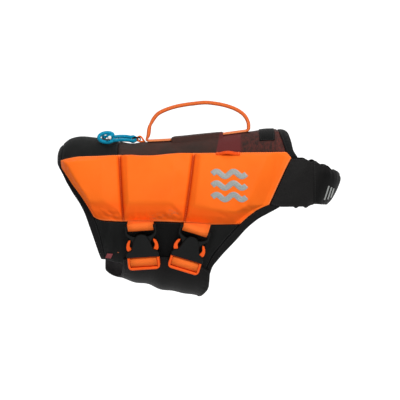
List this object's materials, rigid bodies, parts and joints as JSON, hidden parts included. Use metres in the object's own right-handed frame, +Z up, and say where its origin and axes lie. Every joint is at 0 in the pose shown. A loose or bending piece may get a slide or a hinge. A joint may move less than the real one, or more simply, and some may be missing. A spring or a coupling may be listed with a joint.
{
  "type": "dog life jacket",
  "caption": "Side-buckled flotation vest for a dog, filled out as worn, with foam side panels, a lift handle, a chest collar and a belly panel.",
  "frame": {"origin": "on the dog's back under the back panel, where the back carries the jacket", "axes": "+X towards the dog's head, +Y towards the far side without buckles (the dog's left), +Z up"},
  "size_m": [0.4016, 0.1865, 0.277],
  "materials": {
    "float_orange": "coated plain-weave shell cloth, slight sheen",
    "webbing_orange": "woven webbing, matte",
    "plastic_orange": "moulded, satin",
    "shell_black": "plain-weave shell cloth, matte",
    "neoprene_black": "knit-faced neoprene, matte",
    "tape_black": "elastic edge tape, matte",
    "back_print": "mottled dark red-brown printed cloth",
    "plastic_black": "moulded, satin",
    "cord_blue": "braided cord",
    "tab_red": "folded tape",
    "reflective_grey": null
  },
  "bodies": {
    "root": {"back_front": "back_print", "back_label": "tape_black", "back_rear": "shell_black", "belly_panel": "neoprene_black", "buckle_1_female": "plastic_black", "buckle_1_male": "plastic_orange", "buckle_1_strap": "webbing_orange", "buckle_1_tab": "webbing_orange", "buckle_2_female": "plastic_black", "buckle_2_male": "plastic_orange", "buckle_2_strap": "webbing_orange", "buckle_2_tab": "webbing_orange", "collar_front": "neoprene_black", "collar_wing_left": "neoprene_black", "collar_wing_right": "neoprene_black", "cord_knot": "cord_blue", "cord_lower": "cord_blue", "cord_upper": "cord_blue", "flap_left": "shell_black", "flap_right": "shell_black", "float_left": "float_orange", "float_right": "float_orange", "handle": "webbing_orange", "handle_sleeve": "back_print", "lash_loop_left": "webbing_orange", "lash_loop_right": "webbing_orange", "leg_tape_left": "tape_black", "leg_tape_right": "tape_black", "neck_tape": "tape_black", "rear_tape": "tape_black", "ring": "plastic_black", "ring_loop": "webbing_orange", "side_tab": "tab_red"}
  },
  "joints": []
}
